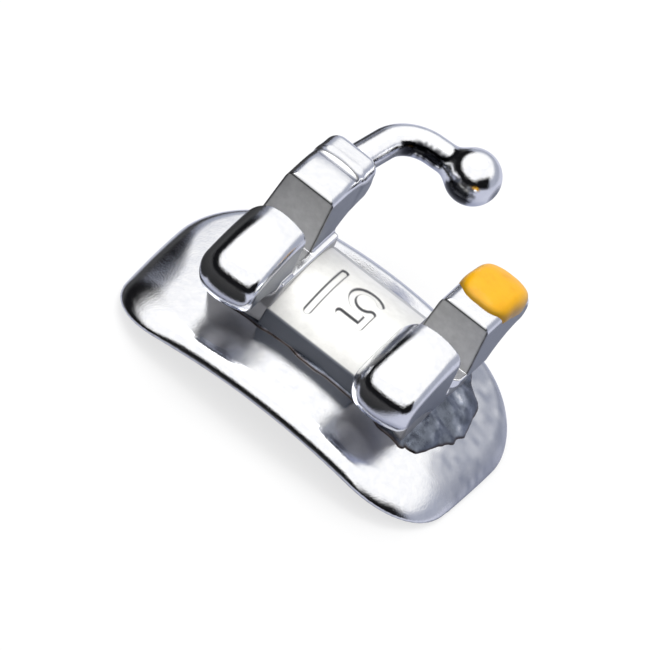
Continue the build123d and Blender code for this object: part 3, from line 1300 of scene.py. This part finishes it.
@dataclass(frozen=True)
class EnamelDrop(SubAssembly):
    """The domed drop of enamel over the nose of the rear right wing."""
    name: ClassVar[str] = "enamel_drop"
    part_slot: ClassVar[str] = "yellow_enamel"
    finishes: ClassVar[tuple[Finish, ...]] = (Finish.ENAMEL,)
    node: ClassVar[str] = "colour_mark"
    width: float = 0.79
    length: float = 1.16
    corner: float = 0.34
    height: float = 0.075
    shift: float = 0.015
    place: float = 1.06
    level: float = 0.55
    tilt: float = 14.0
    run: float = 0.22
    ragged: float = 0.015
    lump: float = 0.25
    sink: float = 0.05
    thin: Point = (0.015, 0.06)
    pitch: float = 0.012
    slot: Slot = Slot()

    def distance(self, x: Grid, y: Grid, z: Grid) -> Grid:
        """The distance to the drop.

        Args:
            x, y, z: Where the points lie.
        Returns:
            The distance, negative inside.
        """
        wing = Wing.rear(1)
        tilt = math.radians(-self.tilt)
        dx = x - wing.middle - self.shift
        dy, dz = y - self.place, z - self.slot.floor - self.level
        along, up = dy * math.cos(tilt) + dz * math.sin(tilt), dz * math.cos(tilt) - dy * math.sin(tilt)
        qx = np.abs(dx) - self.width / 2 + self.corner
        qy = np.abs(along) - self.length / 2 + self.corner
        spot = (np.hypot(np.maximum(qx, 0), np.maximum(qy, 0)) + np.minimum(np.maximum(qx, qy), 0)
                - self.corner + self.ragged * lumps(x, y, self.lump, 7))
        inward = np.clip(-spot / self.run, 0, 1)
        swell = self.height * np.sqrt(1 - (1 - inward) ** 2)
        skin = wing.distance(x, y, z)
        shell = np.maximum(skin - swell, -skin - self.sink)
        return np.maximum(np.maximum(shell, spot), -up)

    def tint_and_painted_shade(self, x: Grid, y: Grid, z: Grid) -> Grid:
        """How thin the enamel is, from 0 to 1, which is most at the outer rim."""
        skin = Wing.rear(1).distance(x, y, z)
        return 1 - smooth_step(skin, *self.thin)

    def box(self) -> tuple[Point3, Point3]:
        """The lowest and highest corner of the space to sample."""
        return (0.88, 0.48, 1.70), (1.70, 1.72, 2.20)


@dataclass(frozen=True)
class Braze(SubAssembly):
    """The braze that ran out round the foot, with a ragged pool at the right end."""
    name: ClassVar[str] = "braze_run"
    part_slot: ClassVar[str] = "braze_metal"
    finishes: ClassVar[tuple[Finish, ...]] = (Finish.BRAZE,)
    node: ClassVar[str] = "braze_skirt"
    stem_outer: float = 1.55
    front: float = 0.66
    back: float = 1.16
    skirt: float = 0.08
    height: float = 0.05
    pool: Point3 = (0.50, 0.90, 0.18)
    pool_place: Point = (1.52, 0.30)
    ragged: float = 0.05
    fade: Point = (-1.6, 0.2)
    lip: float = 0.16
    rise: float = 0.4
    steepness: float = 0.8
    fullness: float = 0.6
    wide_lump: float = 0.22
    pool_lumps: Point3 = (0.26, 0.12, 0.09)
    pool_uneven: float = 0.4
    swell_uneven: Point = (0.30, 0.08)
    sink: float = 0.06
    brown: Point = (0.006, 0.028)
    brown_dark: float = 0.8
    pitch: float = 0.015
    pad: Pad = Pad()

    def distance(self, x: Grid, y: Grid, z: Grid) -> Grid:
        """The distance to the braze.

        Args:
            x, y, z: Where the points lie.
        Returns:
            The distance, negative inside.
        """
        out = self.pad.axis_distance(x, z) - self.pad.radius - self.pad.thickness
        middle = (self.back - self.front) / 2
        qx = np.abs(x) - self.stem_outer
        qy = np.abs(y - middle) - (self.front + self.back) / 2
        plan = np.hypot(np.maximum(qx, 0), np.maximum(qy, 0)) + np.minimum(np.maximum(qx, qy), 0)
        plan = plan - self.skirt * smooth_step(x, *self.fade) + self.ragged * lumps(x, y, self.wide_lump, 1)
        a, b, c = self.pool
        px, py = (x - self.pool_place[0]) / a, (y - self.pool_place[1]) / b
        spread = np.sqrt(px * px + py * py)
        wide, small, fine = self.pool_lumps
        ragged = self.ragged * (lumps(x, y, wide, 2) + self.pool_uneven * lumps(x, y, small, 3))
        puddle = (spread - 1) * a * self.steepness + ragged
        inside = np.minimum(plan, puddle)
        swell = self.height * np.sqrt(np.clip(-inside / self.lip, 0, 1))
        swell = swell + np.clip(-puddle / self.rise, 0, 1) * (c - self.height) * self.fullness
        much, little = self.swell_uneven
        swell = swell * (1 + much * lumps(x, y, self.wide_lump, 4) + little * lumps(x, y, fine, 5))
        return np.maximum(np.maximum(out - swell, inside), -out - self.sink)

    def tint_and_painted_shade(self, x: Grid, y: Grid, z: Grid) -> Grid:
        """How brown the thin border of the braze is, from 0 to 1."""
        out = self.pad.axis_distance(x, z) - self.pad.radius - self.pad.thickness
        return self.brown_dark * (1 - smooth_step(out, *self.brown))

    def box(self) -> tuple[Point3, Point3]:
        """The lowest and highest corner of the space to sample."""
        return (-1.72, -0.84, 0.40), (2.10, 1.32, 0.95)


@dataclass(frozen=True)
class WovenMesh(SubAssembly):
    """The wires under the pad, which pass over and under each other in turn."""
    name: ClassVar[str] = "woven_mesh"
    part_slot: ClassVar[str] = "mesh_wire"
    finishes: ClassVar[tuple[Finish, ...]] = (Finish.WIRE,)
    node: ClassVar[str] = "bonding_mesh"
    pitch: float = 0.42
    width: float = 0.15
    thickness: float = 0.042
    swing: float = 0.016
    level: float = 7.052
    clearance: float = 0.20
    ring: int = 12
    across: tuple[float, int] = (2.0, 200)
    along: tuple[float, int] = (2.6, 260)
    pad: Pad = Pad()

    def build(self) -> bpy.types.Object:
        """The piece's mesh, made wire by wire."""
        return make_object(self.name, *self.wires())

    def wires(self) -> tuple[list[Point3], list[tuple[int, ...]]]:
        """Every wire as a closed flattened tube.

        Returns:
            The vertices in millimetres, and the faces.
        """
        vertices: list[Point3] = []
        faces: list[tuple[int, ...]] = []
        pad = self.pad
        columns = int(((pad.left + pad.right - self.width) / 2 - self.clearance) / self.pitch)
        rows = int(((pad.front + pad.back - self.width) / 2 - self.clearance) / self.pitch)
        middle = (pad.back - pad.front) / 2
        (half_y, count_y), (half_x, count_x) = self.across, self.along
        for step in range(-columns, columns + 1):
            line = [(step * self.pitch, v) for v in np.linspace(-half_y, half_y, count_y)]
            self._wire(line, step, vertices, faces, crosswise=True)
        for step in range(-rows, rows + 1):
            line = [(u, middle + step * self.pitch) for u in np.linspace(-half_x, half_x, count_x)]
            self._wire(line, step, vertices, faces, crosswise=False)
        return vertices, faces

    def _wire(self, line: list[Point], step: int, vertices: list[Point3],
              faces: list[tuple[int, ...]], crosswise: bool) -> None:
        """Add one wire to the mesh, kept inside the tray.

        Args:
            line: The wire's middle line.
            step: Which wire it is, counted from the middle.
            vertices: The mesh's points so far.
            faces: The faces, as rows of corners.
            crosswise: Whether the wire runs across the pad.
        """
        pad = self.pad
        us, vs = np.array([p[0] for p in line]), np.array([p[1] for p in line])
        room = outline_distance(us, vs, pad.outline) + self.clearance + self.width / 2
        kept = [i for i in range(len(line)) if room[i] < 0]
        if len(kept) < 4:
            return
        middle = (pad.back - pad.front) / 2
        first = len(vertices)
        for i in kept:
            u, v = us[i], vs[i]
            phase = (v - middle if crosswise else u) / self.pitch * math.pi + step * math.pi
            lift = self.swing * math.cos(phase) * (1 if crosswise else -1)
            for k in range(self.ring):
                t = math.tau * k / self.ring
                side, up = self.width / 2 * math.cos(t), self.thickness / 2 * math.sin(t)
                radius = self.level + lift + up
                angle = math.asin((u + (side if crosswise else 0)) / self.level)
                vertices.append((radius * math.sin(angle), v + (0 if crosswise else side),
                                 pad.centre + radius * math.cos(angle)))
        rings = len(kept)
        for i in range(rings - 1):
            for k in range(self.ring):
                a, b = first + i * self.ring + k, first + i * self.ring + (k + 1) % self.ring
                face = (a, b, b + self.ring, a + self.ring)
                faces.append(face if crosswise else face[::-1])
        ends = tuple(first + k for k in range(self.ring))
        tips = tuple(first + (rings - 1) * self.ring + k for k in range(self.ring))
        faces.append(ends[::-1] if crosswise else ends)
        faces.append(tips if crosswise else tips[::-1])


# The studio

@dataclass(frozen=True)
class Backdrop:
    """A tone low in the tent that turns to white between two heights, as metal mirrors it."""
    tone: str
    low: float
    high: float


@dataclass(frozen=True)
class Studio:
    """The camera, lamp, floor and surroundings, which aren't part of the object."""
    right: Point3 = (0.782, 0.470, 0.409)
    up: Point3 = (-0.608, 0.431, 0.667)
    pixels: float = 80.0
    frame: float = 650.0
    slot_at: Point = (353.15, 303.8)
    camera_away: float = 40.0
    floor_half: float = 400.0
    floor_tone: str = "#B9BCCB"
    floor_glow: float = 0.72
    lamp_size: float = 120.0
    lamp_power: float = 0.075
    lamp_place: Point3 = (-30.0, 30.0, 120.0)
    front_card: Point = (-2.7, -2.3)
    left_card: Point = (-2.8, -2.6)
    card_slant: float = 2.0
    card_fade: float = 1.0
    tent_strength: float = 1.05
    black: str = "#141416"
    white: str = "#FFFFFF"
    front: Backdrop = Backdrop("#141416", 0.42, 0.50)
    front_right: Backdrop = Backdrop("#141416", 0.62, 0.70)
    back: Backdrop = Backdrop("#A4A8B6", 0.26, 0.48)
    right_side: Backdrop = Backdrop("#A4A8B6", 0.40, 0.56)
    right_turn: Point3 = (0, 0.05, 0.35)
    corner_turn: Point3 = (-18, 0.62, 0.72)
    back_turn: Point3 = (66, 0.40, 0.50)
    slot: Slot = Slot()

    def camera(self) -> None:
        """The camera at the photograph's angle, which is rolled and almost without perspective."""
        data = bpy.data.cameras.new("camera")
        data.type, data.ortho_scale = "ORTHO", self.frame / self.pixels * MM
        data.clip_start, data.clip_end = 0.0005, 1.0
        right, up = Vector(self.right).normalized(), Vector(self.up)
        back = right.cross(up).normalized()
        up = back.cross(right).normalized()
        aside = (self.frame / 2 - self.slot_at[0]) / self.pixels
        above = (self.slot_at[1] - self.frame / 2) / self.pixels
        middle = Vector((0, 0, self.slot.floor)) + right * aside + up * above
        made = bpy.data.objects.new("camera", data)
        turn = Matrix((right, up, back)).transposed().to_4x4()
        made.matrix_world = Matrix.Translation((middle + back * self.camera_away) * MM) @ turn
        bpy.context.scene.collection.objects.link(made)
        bpy.context.scene.camera = made

    def floor(self) -> None:
        """A plain pale floor that keeps the object's shadow, with a dark card at the front and left.

        The camera sees it white. The metal mirrors its cloth and the card.
        """
        half = self.floor_half
        made = make_object("floor", [(-half, -half, 0), (half, -half, 0), (half, half, 0), (-half, half, 0)],
                           [(0, 1, 2, 3)])
        paint = Paint("pale_floor")
        seen = paint.add("ShaderNodeLightPath", out="Is Camera Ray")
        place = paint.add("ShaderNodeTexCoord", out="Object")
        x, y = (paint.add("ShaderNodeSeparateXYZ", {"Vector": place}, axis) for axis in "XY")
        front = paint.add("ShaderNodeMapRange", span(y, *(e * MM for e in self.front_card), 1.0, 0.0))
        left = paint.add("ShaderNodeMapRange", span(x, *(e * MM for e in self.left_card), 1.0, 0.0))
        card = paint.add("ShaderNodeMath", {0: front, 1: left}, operation="MAXIMUM")
        slant = paint.add("ShaderNodeMath", {0: x, 1: self.card_slant, 2: y}, operation="MULTIPLY_ADD")
        fade = self.card_fade * MM
        behind = paint.add("ShaderNodeMapRange", span(slant, -fade, fade, 1.0, 0.0))
        card = paint.add("ShaderNodeMath", {0: card, 1: behind}, operation="MULTIPLY")
        tone = paint.add("ShaderNodeMix", {0: card, 6: linear(self.floor_tone), 7: linear(self.black)}, 2,
                         data_type="RGBA")
        cloth = paint.add("ShaderNodeBsdfPrincipled", {"Base Color": tone, "Roughness": 0.9})
        shade = paint.add("ShaderNodeBsdfDiffuse", {"Color": linear(self.white)})
        glow = paint.add("ShaderNodeEmission", {"Color": linear(self.white), "Strength": 1.0})
        white = paint.add("ShaderNodeMixShader", {0: self.floor_glow, 1: shade, 2: glow})
        mix = paint.add("ShaderNodeMixShader", {0: seen, 1: cloth, 2: white})
        paint.add("ShaderNodeOutputMaterial", {"Surface": mix})
        made.data.materials.append(paint.owner)

    def lamp(self) -> None:
        """One broad soft lamp overhead."""
        data = bpy.data.lights.new("softbox", "AREA")
        data.shape, data.size, data.energy = "DISK", self.lamp_size * MM, self.lamp_power
        made = bpy.data.objects.new("softbox", data)
        place = Vector(self.lamp_place) * MM
        made.matrix_world = Matrix.Translation(place) @ place.to_track_quat("Z", "Y").to_matrix().to_4x4()
        bpy.context.scene.collection.objects.link(made)

    def surroundings(self) -> None:
        """A white tent with dark cards and a slate back near its foot, for the metal to mirror."""
        paint = Paint("tent", world=True)
        where = paint.add("ShaderNodeTexCoord", out="Generated")
        height = paint.add("ShaderNodeSeparateXYZ", {"Vector": where}, "Z")

        def rising(side: Backdrop) -> Socket:
            """The colour of one side of the tent at every height.

            Args:
                side: The side.
            Returns:
                The colour.
            """
            share = paint.add("ShaderNodeMapRange", span(height, side.low, side.high))
            return paint.add("ShaderNodeMix", {0: share, 6: linear(side.tone), 7: linear(self.white)}, 2,
                             data_type="RGBA")

        def turning(azimuth: float, start: float, end: float, away: Socket, towards: Socket) -> Socket:
            """Two colours, one away from and one towards an azimuth, changing between two cosines.

            Args:
                azimuth: The azimuth in degrees.
                start, end: The two cosines.
                away, towards: The two colours.
            Returns:
                The colour.
            """
            turn = math.radians(azimuth)
            dot = paint.add("ShaderNodeVectorMath", {0: where, 1: (math.cos(turn), math.sin(turn), 0)},
                            "Value", operation="DOT_PRODUCT")
            share = paint.add("ShaderNodeMapRange", span(dot, start, end))
            return paint.add("ShaderNodeMix", {0: share, 6: away, 7: towards}, 2, data_type="RGBA")

        back = turning(*self.right_turn, rising(self.back), rising(self.right_side))
        front = turning(*self.corner_turn, rising(self.front), rising(self.front_right))
        tone = turning(*self.back_turn, front, back)
        seen = paint.add("ShaderNodeLightPath", out="Is Camera Ray")
        tent = paint.add("ShaderNodeBackground", {"Color": tone, "Strength": self.tent_strength})
        white = paint.add("ShaderNodeBackground", {"Color": linear(self.white), "Strength": 1.0})
        mix = paint.add("ShaderNodeMixShader", {0: seen, 1: tent, 2: white})
        paint.add("ShaderNodeOutputWorld", {"Surface": mix})
        bpy.context.scene.world = paint.owner

    def build(self) -> None:
        """Set up everything round the object."""
        bpy.context.scene.view_settings.view_transform = "Standard"
        self.camera()
        self.floor()
        self.lamp()
        self.surroundings()


def main() -> None:
    """Build the visual part on the CAD frame."""
    logging.basicConfig(level=logging.INFO, format="%(message)s")
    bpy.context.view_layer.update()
    for piece in (WingPair(-1), WingPair(1), Saddle(), Pad(), EnamelDrop(), Braze(), WovenMesh()):
        piece.dress(piece.build())
    Studio().build()


if __name__ == "__main__":
    main()
